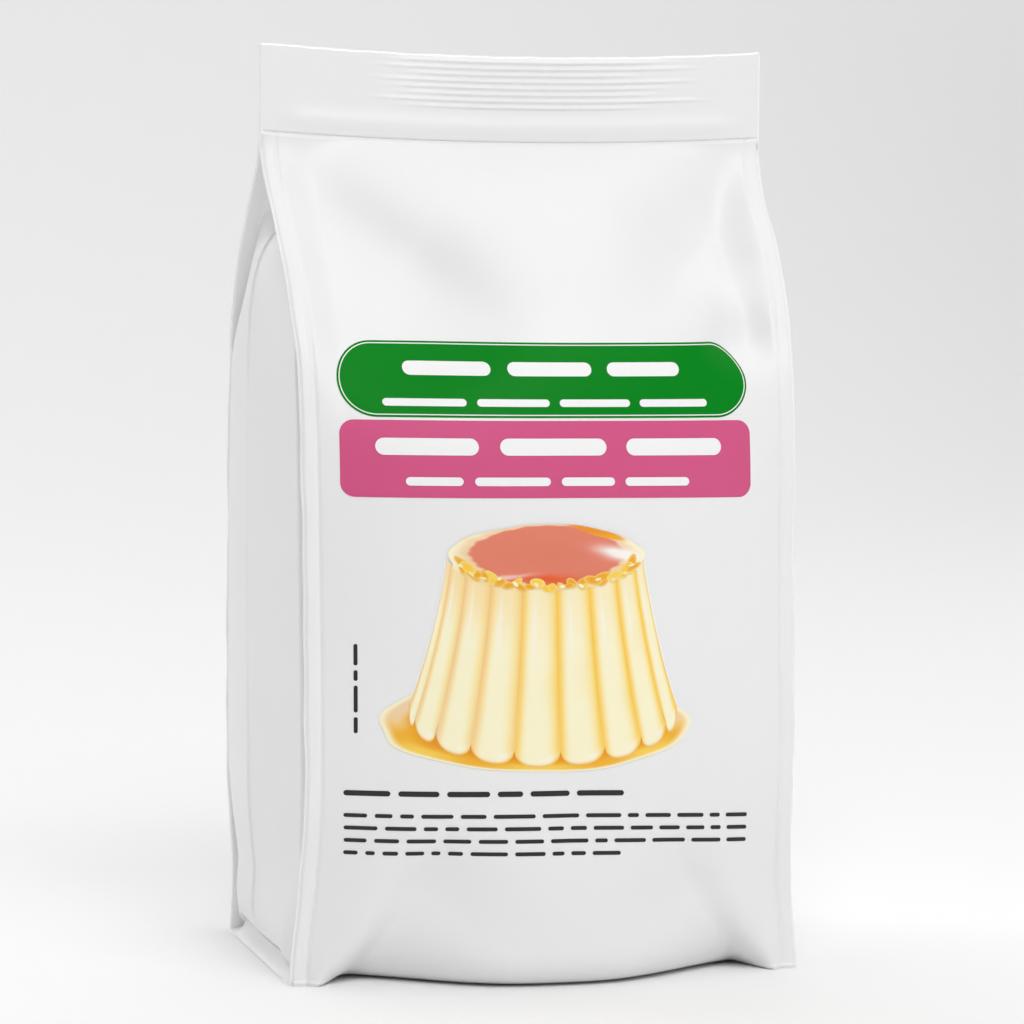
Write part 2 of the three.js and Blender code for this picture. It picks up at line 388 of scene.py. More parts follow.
def gusset_relief(along, z, side):
    """The pressed fold down the middle of the gusset, and faint lumps. The front half laps a little over
    the back half, most at the top and at the bottom, where the fold is still sharp."""
    sharp = 0.25 + 0.75 * np.maximum(smooth(z, 112, 146), 1 - smooth(z, 34, 72))
    lap = 0.55 * bell(along, -0.008, 0.013) - 0.95 * bell(along, 0.018, 0.011)
    a = waves(35 * along + 0.4 * z, (21, 33), 40 + side) * waves(z, (24, 39, 61), 43 + side)
    soft = 0.16 * a * (1 - along**4) * smooth(z, 6, 20) * smooth(CREASE_Z - z, 15, 50)
    return lap * sharp * smooth(z, 5, 12) * smooth(CREASE_Z - z, 5, 20) + soft


def fin_middle(z, panel, side):
    """Band plane to the middle of this one fin, dents and all."""
    fin = fin_depth(z, panel)
    return fin - pressed_in(dents(side * weld_line(z, panel), z, panel), fin)


def gusset_sheet(along, z, side):
    """The wall between the two weld lines. Near the ground it flares out on a straight line to the ground
    edge of a weld strip, which has a bead along each of its edges and a groove over it. The wall swells
    out again above the groove."""
    share = (along + 1) / 2
    wall = blend(weld_line(z, FRONT), weld_line(z, BACK), share) + gusset_offset(along, z)
    wall = wall + gusset_relief(along, z, side)
    strip_top = FLANGE_HEIGHT * (1 - 0.8 * smooth(np.abs(along), 0.6, 0.95))
    between = 1 - smooth(np.abs(along), 0.75, 0.95)
    swell = STRIP_SWELL * smooth(z, strip_top + 0.5, strip_top + 1.3) * (1 - smooth(z, 8, 22))
    flared = np.maximum(1 - z / strip_top, 0)
    beads = TOP_BEAD * bell(z, strip_top - 0.5, BEAD_WIDTH) + LOW_BEAD * bell(z, 0.5, BEAD_WIDTH)
    groove = STRIP_GROOVE * bell(z, strip_top + 0.3, 0.3)
    x = blend(wall + swell * between, FLANGE_HALF_WIDTH, flared) + (beads - groove) * between
    front = np.minimum(HALF_SEAL - fin_middle(z, FRONT, side), 0)
    back = np.maximum(fin_middle(z, BACK, side) - HALF_SEAL, 0)
    return x, blend(front, back, share)


# %% The whole side, from one cut edge to the other
def gusset_columns():
    """-1 to 1, closest together at the fold in the middle and at the welds."""
    at_fold, between, at_weld = (0, 0.05, 0.004), (0.21, 0.85, 0.04), (0.93, 1, 0.005)
    half = steps(at_fold, (0.05, 0.21, 0.02), between, (0.85, 0.93, 0.01), at_weld)
    return np.concatenate([-half[:0:-1], half])[None, :]


RIM_COLUMNS = 9


def side_surface(z, side):
    """Columns: the front fin's rim as a half circle, its inner side, the gusset, the back fin's inner
    side and its rim. The left side is the right one mirrored, with its columns turned round."""
    z = z[:, None]
    turn = np.linspace(-math.pi / 2, math.pi / 2, RIM_COLUMNS)[None, :]
    strip = np.linspace(1, 0, 7)[None, :]
    columns = []
    for panel in (FRONT, BACK):
        outward, aside = fin_wave(z, panel, side)
        middle = panel["side"] * (fin_middle(z, panel, side) + aside)
        rim_x = fin_edge(z, panel) - RIM + outward + RIM * np.cos(turn)
        rim_y = middle + RIM * np.sin(turn)
        inner_x = weld_line(z, panel) + strip * (FIN_WIDTH - RIM + outward)
        inner_y = panel["side"] * (fin_middle(z, panel, side) + strip * aside - HALF_SEAL)
        inner_y = panel["side"] * np.maximum(panel["side"] * inner_y, 0)
        rim_y = panel["side"] * np.maximum(panel["side"] * rim_y, 0)
        columns.append([(rim_x, rim_y), (inner_x[:, 1:-1], inner_y[:, 1:-1])])
    (front_rim, front_strip), (back_rim, back_strip) = columns
    gusset = gusset_sheet(gusset_columns(), z, side)
    flipped = (back_strip[0][:, ::-1], back_strip[1][:, ::-1])
    parts = [front_rim, front_strip, gusset, flipped, back_rim]
    x = np.concatenate([part[0] for part in parts], axis=1)
    y = np.concatenate([part[1] for part in parts], axis=1)
    heights = z - band_dip(x, z)
    grid = np.stack([side * x, y + BAND_Y, heights], axis=-1)
    return grid if side > 0 else grid[:, ::-1]


# %% [markdown]
# ## The band's cut edge and the flat bottom
# The band's edge is half a circle carried up one side, along the dipping top and down the other side. The
# bottom is a sheet between the lowest lines of the front and the back, a little hollow, with the pressed
# folds of a block bottom.


# %% The cut edge
def band_edge():
    """A half circle, from the front film to the back film, carried along the band's outline."""
    up = steps((SHUT_Z - 0.5, HEIGHT - RIM, 0.5))
    top = np.linspace(-1, 1, 240)[1:-1] * (HALF_WIDTH - RIM)
    turn = np.linspace(0, math.pi / 2, 6)
    side_x = fin_edge(up, FRONT) - RIM
    corner = np.full(len(turn), HALF_WIDTH - RIM)
    path_x = np.concatenate([-side_x[:-1], -corner, top, corner, side_x[:-1][::-1]])
    along_top = np.full(2 * len(corner) + len(top), HEIGHT - RIM)
    path_z = np.concatenate([up[:-1], along_top, up[:-1][::-1]])
    flat = np.zeros(len(up) - 1)
    out_x = np.concatenate([flat - 1, -np.cos(turn), top * 0, np.cos(turn)[::-1], flat + 1])
    out_z = np.concatenate([flat, np.sin(turn), top * 0 + 1, np.sin(turn)[::-1], flat])
    depth = fin_depth(path_z, FRONT)
    around = np.linspace(-math.pi / 2, math.pi / 2, 9)
    cut = 0.14 * waves(path_x, (3.1, 5.3, 11, 17), 4) * smooth(path_z, HEIGHT - 2, HEIGHT - RIM)
    x = path_x[:, None] + out_x[:, None] * RIM * np.cos(around)
    z = (path_z - band_dip(path_x, path_z) + cut)[:, None] + out_z[:, None] * RIM * np.cos(around)
    front = HALF_SEAL + crimp(path_x, path_z)
    y = (front + depth)[:, None] * np.sin(around)
    return np.stack([x, y + BAND_Y, z], axis=-1)


# %% The bottom
def bottom_sheet():
    """Rows run from the back's lowest line to the front's. It is hollow by less than a millimetre, and
    its folds run in from the feet."""
    r = film_columns(90)
    ground = np.zeros(len(r))
    front, back = film_surface(r, ground, FRONT), film_surface(r, ground, BACK)
    share = np.linspace(0, 1, 80)[:, None]
    x = blend(back[:, 0], front[:, 0], share)
    y = blend(back[:, 1], front[:, 1], share)
    strip = np.clip(np.abs(r) - 1, 0, 1)
    x = x + np.sign(r) * strip * (FLANGE_HALF_WIDTH - np.abs(x)) * (1 - (2 * share - 1) ** 8)
    inside = (1 - np.clip(np.abs(x) / FLANGE_HALF_WIDTH, 0, 1) ** 6) * (1 - np.abs(2 * share - 1) ** 6)
    fold = bell(np.abs(x) - 22 - 0.9 * np.abs(y), 0, 0.8) + bell(y, 0, 0.9) * (np.abs(x) > 22)
    z = inside * (0.7 - 0.25 * fold)
    return np.stack([x, y, z], axis=-1)


# %% [markdown]
# ## From grids to meshes
# A grid of points becomes quads between neighbouring rows and columns. The same helper takes several grids
# at once, which is how a line of small printed marks becomes one piece.


# %% Mesh helper
def grid_quads(rows, columns, first):
    """Quads of one grid whose first vertex has the number `first`, facing columns cross rows."""
    index = first + np.arange(rows * columns).reshape(rows, columns)
    corners = index[:-1, :-1], index[:-1, 1:], index[1:, 1:], index[1:, :-1]
    return np.stack([c.ravel() for c in corners], axis=1)


def make_piece(name, grids, material, colours=None):
    """Joins grids of points in millimetres into one smooth mesh that rides on the bag."""
    grids = grids if isinstance(grids, list) else [grids]
    firsts = np.cumsum([0] + [g.shape[0] * g.shape[1] for g in grids])
    points = np.concatenate([g.reshape(-1, 3) for g in grids]) * MM
    quads = np.concatenate([grid_quads(*g.shape[:2], first) for g, first in zip(grids, firsts)])
    mesh = bpy.data.meshes.new(name)
    mesh.from_pydata(points, [], quads)
    mesh.shade_smooth()
    if colours is not None:
        layer = mesh.color_attributes.new("ink", "FLOAT_COLOR", "POINT")
        inks = np.concatenate([c.reshape(-1, 3) for c in colours])
        inks = np.concatenate([inks, np.ones((len(inks), 1))], axis=1)
        layer.data.foreach_set("color", inks.astype(np.float32).ravel())
    piece = bpy.data.objects.new(name, mesh)
    bpy.context.scene.collection.objects.link(piece)
    mesh.materials.append(material)
    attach(piece, "root")
    print(f"{name}: {len(points)} points, {len(quads)} quads")
    return piece


# %% [markdown]
# ## Finishes
# The film is a laminate: a matt-varnished polyester over white polyethylene, about 0.1 mm thick. It looks
# bright white with a soft, wide sheen, and the powder behind it gives it a faint orange-peel. The inks are
# printed on its inside, so they share its sheen.

# %% Colour and node helpers


def colour(code):
    """A linear RGB array from an sRGB hex code."""
    value = np.array([int(code[i : i + 2], 16) / 255 for i in (1, 3, 5)])
    return np.where(value <= 0.04045, value / 12.92, ((value + 0.055) / 1.055) ** 2.4)


def rgba(code):
    """The same with an alpha of 1, for a colour socket."""
    return (*colour(code), 1.0)


def add(tree, kind, inputs=None, **settings):
    """Adds a node, sets what `settings` names, and fills or links the sockets that `inputs` names."""
    node = tree.nodes.new(kind)
    for key, value in settings.items():
        setattr(node, key, value)
    for key, value in (inputs or {}).items():
        if isinstance(value, bpy.types.NodeSocket):
            tree.links.new(value, node.inputs[key])
        else:
            node.inputs[key].default_value = value
    return node


# %% White laminate, and the inks behind the same varnish
PEEL_SIZE, PEEL_DEPTH = 0.0011, 0.00001     # the varnish's orange-peel, drawn a little coarse to show
LUMP_SIZE, LUMP_DEPTH = 0.006, 0.00006      # clumps of powder that press on the film
SHEEN_SIZE = 0.045                          # patches where the varnish is rubbed


def film_material(name, base, vary, roughness=(0.36, 0.46), gloss=0.4, from_ink=False):
    """Matt-varnished film. base and vary are the colour and what it drifts to in large soft patches."""
    material = bpy.data.materials.new(name)
    material.use_nodes = True
    tree = material.node_tree
    shader = tree.nodes["Principled BSDF"]
    place = add(tree, "ShaderNodeTexCoord").outputs["Object"]
    patches = add(tree, "ShaderNodeTexNoise", {"Vector": place, "Scale": 1 / SHEEN_SIZE, "Detail": 3.0})
    peel = add(tree, "ShaderNodeTexNoise", {"Vector": place, "Scale": 1 / PEEL_SIZE, "Detail": 1.0})
    clumps = add(tree, "ShaderNodeTexNoise", {"Vector": place, "Scale": 1 / LUMP_SIZE, "Detail": 2.0})
    if from_ink:
        tone = add(tree, "ShaderNodeAttribute", attribute_name="ink").outputs["Color"]
    else:
        drift = add(tree, "ShaderNodeMix", {"Factor": patches.outputs["Fac"]}, data_type="RGBA")
        drift.inputs["A"].default_value = rgba(base)
        drift.inputs["B"].default_value = rgba(vary)
        tone = drift.outputs["Result"]
    tree.links.new(tone, shader.inputs["Base Color"])
    spread = {"Value": patches.outputs["Fac"], "To Min": roughness[0], "To Max": roughness[1]}
    rough = add(tree, "ShaderNodeMapRange", spread)
    tree.links.new(rough.outputs["Result"], shader.inputs["Roughness"])
    pressed = {"Height": clumps.outputs["Fac"], "Distance": LUMP_DEPTH, "Strength": 0.6}
    lumpy = add(tree, "ShaderNodeBump", pressed).outputs["Normal"]
    dimpled = {"Height": peel.outputs["Fac"], "Distance": PEEL_DEPTH, "Strength": 0.5, "Normal": lumpy}
    relief = add(tree, "ShaderNodeBump", dimpled).outputs["Normal"]
    tree.links.new(relief, shader.inputs["Normal"])
    shader.inputs["IOR"].default_value = 1.5
    shader.inputs["Specular IOR Level"].default_value = gloss
    return material


# Matt varnish over white polyethylene: bright, with a wide and soft sheen.
WHITE_FILM = film_material("white_matt_laminate", "#F2F2F2", "#EEEEEE")
# The knife leaves polyethylene smooth and glossy, and the edge's colour is a painted highlight, a little
# whiter than the film, so a cut edge draws a thin bright line.
CUT_EDGE = film_material("cut_polyethylene_edge_painted_highlight", "#FAFAFA", "#F6F6F6", roughness=(0.16, 0.22), gloss=0.7)
# Gravure inks under the varnish: full and even, with less gloss than the bare film beside them.
GREEN_INK = film_material("green_ink_on_laminate", "#05821C", "#088620", gloss=0.05)
PINK_INK = film_material("pink_ink_on_laminate", "#D35786", "#D65C8A", gloss=0.12)
WHITE_INK = film_material("white_ink_on_laminate", "#F8F8F8", "#F4F4F4", gloss=0.2)
GREY_INK = film_material("dark_grey_ink_on_laminate", "#303032", "#39393B", gloss=0.12)
PICTURE_INK = film_material("picture_inks_on_laminate", None, None, gloss=0.12, from_ink=True)

# %% [markdown]
# ## The bag's skin
# Seven sheets meet along the fins, the cut edges and the ground, as the real bag's webs do. Together they
# stand for the solid pouch, which is hidden and stays for collision.

# %% Make the skin
FRONT_COLUMNS, BACK_COLUMNS = 200, 130
FIRST_RIM, LAST_RIM = slice(RIM_COLUMNS), slice(-RIM_COLUMNS, None)
WALL = slice(RIM_COLUMNS - 1, 1 - RIM_COLUMNS)

front_film = film_surface(film_columns(FRONT_COLUMNS)[None, :], FILM_ROWS[:, None], FRONT)
back_film = film_surface(film_columns(BACK_COLUMNS)[None, ::-1], FILM_ROWS[:, None], BACK)
right_side, left_side = side_surface(BODY_ROWS, 1), side_surface(BODY_ROWS, -1)
rims = [side[:, part] for side in (right_side, left_side) for part in (FIRST_RIM, LAST_RIM)]
SKIN = [
    make_piece("film_front", front_film, WHITE_FILM),
    make_piece("film_back", back_film, WHITE_FILM),
    make_piece("gusset_right", right_side[:, WALL], WHITE_FILM),
    make_piece("gusset_left", left_side[:, WALL], WHITE_FILM),
    make_piece("fin_edges", rims, CUT_EDGE),
    make_piece("band_edge", band_edge(), CUT_EDGE),
    make_piece("bottom", bottom_sheet(), WHITE_FILM),
]
for sheet in SKIN:
    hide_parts("pouch")

# %% [markdown]
# ## Printing on the front
# Each printed field is a thin layer that follows the film a few hundredths of a millimetre above it. Its
# outline is geometry, so it stays sharp at any distance. A field is a grid between its lower and upper
# outline, laid onto the film by the film's own function.


# %% Lay a flat shape onto the front film
def on_front(x, z, lift):
    """The film's point at x and z, moved out by `lift` along the film's normal, which comes from two
    neighbouring points."""
    nearby = 0.05
    r = x / weld_line(z, FRONT)
    here = film_surface(r, z, FRONT)
    right = film_surface(r + nearby / HALF_WIDTH, z, FRONT) - here
    up = film_surface(r, z + nearby, FRONT) - here
    normal = np.cross(right, up)
    return here + lift * normal / np.linalg.norm(normal, axis=-1, keepdims=True)


def printed_drop(x, z):
    """The printed lines run a little downhill towards the right, more so lower down."""
    return 0.022 * np.maximum(133 - z, 0) * np.maximum(x / 44, 0) ** 1.5


def rounded_box(centre_x, centre_z, width, height, radius, lift):
    """A rectangle with round corners, as columns between its lower and upper outline."""
    columns = max(int(width / 1.2), 6)
    even = np.linspace(-1, 1, columns + 24)
    x = np.sin(even * math.pi / 2) * width / 2
    past = np.maximum(np.abs(x) - (width / 2 - radius), 0)
    half = height / 2 - radius + np.sqrt(np.maximum(radius**2 - past**2, 0))
    rows = max(int(height / 1.2), 2)
    t = np.linspace(-1, 1, rows + 1)[:, None]
    flat_x = centre_x + x + 0 * t
    flat_z = centre_z + t * half
    return on_front(flat_x, flat_z - printed_drop(flat_x, flat_z), lift)


# %% The green field, the pink field and their lines of print
LABEL_X = -1.9
PILL = dict(z=129.9, width=90.6, height=16.1)
PLATE = dict(z=113.1, width=90.6, height=16.3, radius=3.0)
LIFT = 0.06

pill = rounded_box(LABEL_X, PILL["z"], PILL["width"], PILL["height"], PILL["height"] / 2, LIFT)
make_piece("print_green_field", pill, GREEN_INK)
plate = rounded_box(LABEL_X, PLATE["z"], PLATE["width"], PLATE["height"], PLATE["radius"], LIFT)
make_piece("print_pink_field", plate, PINK_INK)

# %% [markdown]
# Lines of words are drawn as plain bars of word length, the way a layout is sketched before its text is
# set. The lengths come from a seeded draw, so that each run gives the same lines.


# %% Bars for words
def word_bars(left, right, z, height, lift, seed, words=(2.2, 9.0), gap=1.5):
    """Bars with round ends from left to right, of drawn lengths, scaled to end exactly at the right."""
    draw = np.random.default_rng(seed)
    lengths = []
    while sum(lengths) + gap * len(lengths) < right - left:
        lengths.append(draw.uniform(*words))
    spare = right - left - gap * (len(lengths) - 1)
    lengths = np.array(lengths) * spare / sum(lengths)
    starts = left + np.cumsum(np.concatenate([[0], lengths[:-1] + gap]))
    return [rounded_box(s + n / 2, z, n, height, height / 2, lift) for s, n in zip(starts, lengths)]


def outline(centre_x, centre_z, width, height, thickness, lift):
    """A thin line round a shape with full-round ends: a loop of normals carried round the ends."""
    radius = height / 2
    straight = width / 2 - radius
    turn = np.concatenate([np.linspace(-0.5, 0.5, 40), np.linspace(0.5, 1.5, 40)]) * math.pi
    side = np.repeat([1.0, -1.0], 40)
    spread = np.linspace(-straight, straight, 60)
    x = np.concatenate([straight * side[:40], spread[::-1], -straight * np.ones(40), spread, [straight]])
    over, under = np.full(60, math.pi / 2), np.full(60, 1.5 * math.pi)
    angle = np.concatenate([turn[:40], over, turn[40:], under, [-math.pi / 2]])
    r = radius + np.array([0, -thickness])[:, None]
    flat_x = centre_x + x + r * np.cos(angle)
    flat_z = centre_z + r * np.sin(angle)
    return on_front(flat_x, flat_z - printed_drop(flat_x, flat_z), lift)


def upright_bars(centre_x, low, high, width, lift, lengths, gap=1.0):
    """Bars one over another from low to high, of these shares of the height less the gaps."""
    spare = high - low - gap * (len(lengths) - 1)
    tall = np.array(lengths) * spare / sum(lengths)
    bottoms = low + np.cumsum(np.concatenate([[0], tall[:-1] + gap]))
    return [rounded_box(centre_x, b + t / 2, width, t, width / 2, lift) for b, t in zip(bottoms, tall)]


white_marks = [
    outline(LABEL_X, PILL["z"], PILL["width"] - 0.9, PILL["height"] - 0.9, 0.22, 2 * LIFT),
    *word_bars(-33, 27, 132.2, 3.0, 2 * LIFT, 5, words=(17, 24), gap=3.5),
    *word_bars(-38, 33, 125.0, 1.6, 2 * LIFT, 6, words=(12, 22), gap=2.2),
    *word_bars(-40, 36, 115.7, 3.6, 2 * LIFT, 7, words=(24, 34), gap=4.5),
    *word_bars(-34, 28, 108.4, 1.8, 2 * LIFT, 8, words=(12, 20), gap=2.4),
]
make_piece("print_white_marks", white_marks, WHITE_INK)

grey_marks = [
    *word_bars(-46.8, 12.5, 42.3, 1.15, LIFT, 21, words=(6, 13), gap=1.6),
    *word_bars(-46.7, 42.5, 37.5, 0.85, LIFT, 22),
    *word_bars(-46.6, 42.5, 34.8, 0.85, LIFT, 23),
    *word_bars(-46.5, 42.5, 32.1, 0.85, LIFT, 24),
    *word_bars(-46.5, 12.0, 29.4, 0.85, LIFT, 25),
    *upright_bars(-44.4, 55.0, 73.9, 0.8, LIFT, (3, 5, 2, 4)),
]
make_piece("print_grey_marks", grey_marks, GREY_INK)

# %% [markdown]
# ## The pictured pudding
# The picture is simple shapes in a few colours: a fluted body of ribs with round ends, an oval of caramel
# on top with drops along its near rim, and a puddle. Each shape is a grid, and its colour is a formula of
# the same two parameters, kept as an attribute of the points, so that it needs no image.

# %% Sizes and colours of the picture
PUDDING_X = -4.5
BASE_Z, TOP_Z = 58.6, 92.7
BASE_HALF, TOP_HALF = 29.2, 21.3
BASE_DROP, TOP_DROP = 10.6, 6.9
RIB_ANGLE, RIB_TURN = 20, -4.5
CREAM, BUTTER, HONEY = colour("#FFF8D4"), colour("#FFEAA0"), colour("#FFCE48")
PEACH, TAN = colour("#F8CC9E"), colour("#FCD890")
SALMON, CARAMEL, ORANGE = colour("#E6856E"), colour("#EC5E22"), colour("#F09832")
AMBER, GOLD, BISCUIT = colour("#F4AE2E"), colour("#FCD45C"), colour("#F6D6AE")
PAPER = colour("#FFFCF6")


def mix(a, b, share):
    """Colour a at share 0 and b at share 1, for a grid of shares."""
    return a + (b - a) * np.asarray(share)[..., None]


def body_point(angle, up, grow=0.0):
    """The pudding's fluted side: an ellipse that narrows and rises. angle is 0 in front."""
    half = blend(BASE_HALF, TOP_HALF, 1 - (1 - up) ** 1.25) + grow
    drop = blend(BASE_DROP, TOP_DROP, up) + grow
    return PUDDING_X + half * np.sin(angle), blend(BASE_Z, TOP_Z, up) - drop * np.cos(angle)


# %% Ribs
def rib(middle, grow=0.0):
    """One rib: its bottom end is half an ellipse. Returns x, z and the two parameters."""
    s = np.linspace(-1, 1, 33)[None, :]
    up = (np.linspace(0, 1, 70) ** 1.3)[:, None]
    start, end = max(middle - RIB_ANGLE / 2, -90), min(middle + RIB_ANGLE / 2, 90)
    angle = np.radians(blend(start, end, (s + 1) / 2))
    x, z = body_point(angle, up, grow)
    lobe = 3.0 * (1 - np.sqrt(np.maximum(1 - np.abs(s) ** 2.4, 0))) * (1 - up) ** 4
    return x, z + lobe, s + 0 * up, up + 0 * s


def rib_ink(s, up, middle):
    """Cream along the rib's crest, butter beside it and a darker line where two ribs meet: peach on the
    left of the pudding and honey on the right. It is tan under the top, and its foot has a gleam and a
    thin line."""
    left = smooth(-middle, -5, 45)
    seam = mix(HONEY, PEACH, left + 0 * s)
    ink = mix(CREAM, BUTTER, smooth(np.abs(s + 0.12), 0.3, 0.95))
    patch = waves(24 * up + 0.3 * middle, (11.3, 17.9, 29), 9) * waves(2 * s + middle, (7.3, 11.7), 10)
    ink = mix(ink, GOLD, np.clip(0.8 * patch, 0, 0.3) * smooth(up, 0.15, 0.4))
    ink = mix(ink, CREAM, 0.8 * smooth(0.5 - up, 0, 0.4) * bell(s, 0.15, 0.45))
    ink = mix(ink, TAN, (0.25 + 0.35 * left) * smooth(up, 0.6, 0.97))
    ink = mix(ink, PAPER, 0.6 * bell(s, -0.3, 0.12) * bell(up, 0.78, 0.16))
    ink = mix(ink, seam, (0.8 - 0.15 * left) * smooth(np.abs(s), 0.45, 1) ** 2)
    ink = mix(ink, AMBER, 0.3 * bell(s, 1, 0.1) * smooth(up, 0, 0.5))
    ink = mix(ink, PAPER, 0.75 * bell(up, 0.04, 0.014) * bell(s, 0.5, 0.28))
    return mix(ink, AMBER, 0.7 * bell(up, 0, 0.012))


ribs, rib_inks, halo = [], [], []
for middle in RIB_TURN + RIB_ANGLE * np.arange(-4, 5):
    x, z, s, up = rib(middle)
    ribs.append(on_front(x, z - printed_drop(x, z), 3 * LIFT))
    rib_inks.append(rib_ink(s, up, middle))
    x, z, s, up = rib(middle, grow=0.5)
    halo.append(on_front(x, z - printed_drop(x, z), LIFT))
make_piece("print_pudding_body", ribs, PICTURE_INK, rib_inks)


# %% The caramel on top and the puddle
def oval(centre_x, centre_z, half_x, half_z, wobble, lift, lean=0.0, detail=(48, 217)):
    """A disc of rings and spokes whose outline wobbles, turned by `lean`. Returns the grid, the ring and
    the spoke's angle."""
    ring = np.linspace(0, 1, detail[0])[:, None]
    spoke = np.linspace(0, math.tau, detail[1])[None, :]
    reach = ring * (1 + wobble(spoke))
    wide, high = half_x * reach * np.cos(spoke), half_z * reach * np.sin(spoke)
    x = centre_x + wide * math.cos(lean) - high * math.sin(lean)
    z = centre_z + wide * math.sin(lean) + high * math.cos(lean)
    grid = on_front(x, z - printed_drop(x, z), lift)[:, ::-1]
    return grid, (ring + 0 * spoke)[:, ::-1], (spoke + 0 * ring)[:, ::-1]


def scallops(spoke):
    """Small lobes, each over one rib, on the near half of the rim, and a far edge that isn't quite even."""
    lobes = 0.02 * np.cos(18 * spoke) * smooth(-np.sin(spoke), -0.1, 0.5)
    return lobes + 0.012 * np.sin(5 * spoke + 1) + 0.008 * np.sin(11 * spoke)


def puddle_edge(spoke):
    """An uneven edge, which reaches out a little at the lower left and draws in at the right."""
    return 0.02 * np.cos(2 * spoke - 3.6) + 0.015 * np.cos(5 * spoke) + 0.012 * np.sin(9 * spoke)


def top_inks(ring, spoke):
    """Salmon glaze with an orange pool at its near edge, a cream rim that is widest at the sides and
    blushes towards the glaze, an orange lip at the far right and a broad pale gleam at the right."""
    near = smooth(-np.sin(spoke), -0.2, 0.8)
    uneven = 0.03 * waves(spoke * 30, (7.3, 11.9, 17.1, 29), 5)
    glaze_edge = 0.97 - 0.17 * np.abs(np.cos(spoke)) ** 1.6 - 0.1 * near + uneven
    wide, deep = ring * np.cos(spoke), ring * np.sin(spoke)
    rim_ink = mix(CREAM, BISCUIT, smooth(0.18 - (ring - glaze_edge), 0, 0.16))
    rim_ink = mix(rim_ink, TAN, 0.5 * near)
    ink = mix(SALMON, CARAMEL, 0.95 * bell(deep, -0.68, 0.16) * bell(wide, -0.02, 0.34))
    ink = mix(ink, SALMON * 0.9, 0.4 * bell(deep, 0.0, 0.5) * bell(wide, 0.1, 0.5))
    ink = mix(ink, PAPER, 0.55 * bell(deep - 0.3 * wide, -0.48, 0.06) * bell(wide, -0.45, 0.24))
    ink = mix(ink, rim_ink, smooth(ring, glaze_edge - 0.02, glaze_edge + 0.02))
    gleam = bell(deep + 0.55 * (wide - 0.7), 0.12, 0.17) * bell(wide, 0.74, 0.2)
    ink = mix(ink, PAPER, np.clip(1.3 * gleam, 0, 0.95))
    lip_place = np.hypot((wide - 0.47) / 0.36, (deep - 0.82 + 0.85 * (wide - 0.47)) / 0.15)
    return mix(ink, mix(AMBER, ORANGE, smooth(deep, 0.6, 0.8)), 1 - smooth(lip_place, 0.75, 1.05))


def pool_inks(ring, spoke):
    """Amber that is orange beside the pudding, gold further out and cream at its thin edge, and pale on
    its far side, where it shows behind the pudding's feet."""
    ink = mix(ORANGE, AMBER, smooth(ring, 0.72, 0.84))
    ink = mix(ink, GOLD, smooth(ring, 0.8, 0.9) * (0.6 + 0.4 * np.sin(7 * spoke)))
    ink = mix(ink, BISCUIT, smooth(np.sin(spoke), -0.25, 0.35) * smooth(ring, 0.8, 0.9))
    return mix(ink, CREAM, smooth(ring, 0.94, 0.99))


DROP_LAYERS, DROP_LAYER_GAP = 4, 0.02


def round_edge(spoke):
    """No wobble."""
    return 0 * spoke


def drops(turns, centre, half, sizes, inks, lift, seed):
    """Small drawn drops along an ellipse: each has its own place, size and lean, and one ink that pales
    towards its edge. Neighbours that overlap lie at different heights, because faces in one plane would
    shade each other."""
    draw = np.random.default_rng(seed)
    grids, tones = [], []
    for number, turn in enumerate(np.radians(turns)):
        turn = turn + draw.uniform(-0.04, 0.04)
        off = draw.uniform(-0.7, 0.7)
        x = centre[0] + (half[0] + off) * math.cos(turn)
        z = centre[1] + (half[1] + off) * math.sin(turn)
        wide, high = draw.uniform(*sizes[0]), draw.uniform(*sizes[1])
        lean = math.atan2(half[1] * math.cos(turn), -half[0] * math.sin(turn)) + draw.uniform(-0.8, 0.8)
        layer = lift + number % DROP_LAYERS * DROP_LAYER_GAP
        grid, ring, _ = oval(x, z, wide, high, round_edge, layer, lean, detail=(6, 17))
        grids.append(grid)
        tones.append(mix(inks[draw.integers(len(inks))], BUTTER, 0.5 * smooth(ring, 0.5, 1)))
    return grids, tones


TOP_PLACE = (PUDDING_X + 0.1, TOP_Z - 0.2)
top_grid, ring, spoke = oval(*TOP_PLACE, TOP_HALF, TOP_DROP, scallops, 4 * LIFT)
make_piece("print_pudding_top", top_grid, PICTURE_INK, [top_inks(ring, spoke)])
pool_grid, ring, spoke = oval(PUDDING_X - 1.8, BASE_Z - 1.6, 34.3, 9.9, puddle_edge, 2 * LIFT)
make_piece("print_pudding_pool", pool_grid, PICTURE_INK, [pool_inks(ring, spoke)])
make_piece("print_pudding_halo", halo, WHITE_INK)

# %% Drops of caramel on the rim
RIM_DROPS, RIM_GLEAMS = ((0.9, 2.2), (0.5, 1.0)), ((0.4, 0.9), (0.2, 0.4))
SYRUP, GLEAM = (AMBER, HONEY, AMBER, GOLD), (CREAM, BUTTER)
rim = (TOP_HALF * 0.91, TOP_DROP * 0.88)
dark_grids, dark_tones = drops(np.linspace(190, 348, 34), TOP_PLACE, rim, RIM_DROPS, SYRUP, 4.5 * LIFT, 31)
pale_grids, pale_tones = drops(np.linspace(198, 342, 12), TOP_PLACE, rim, RIM_GLEAMS, GLEAM, 6 * LIFT, 32)
make_piece("print_pudding_drops", dark_grids + pale_grids, PICTURE_INK, dark_tones + pale_tones)

# %% [markdown]
# ## Camera
# The photograph looks at the bag from a little to its left and just above its middle, from a good
# distance with a long lens. The aim, the distance and the lens were fitted to the bag's corners.

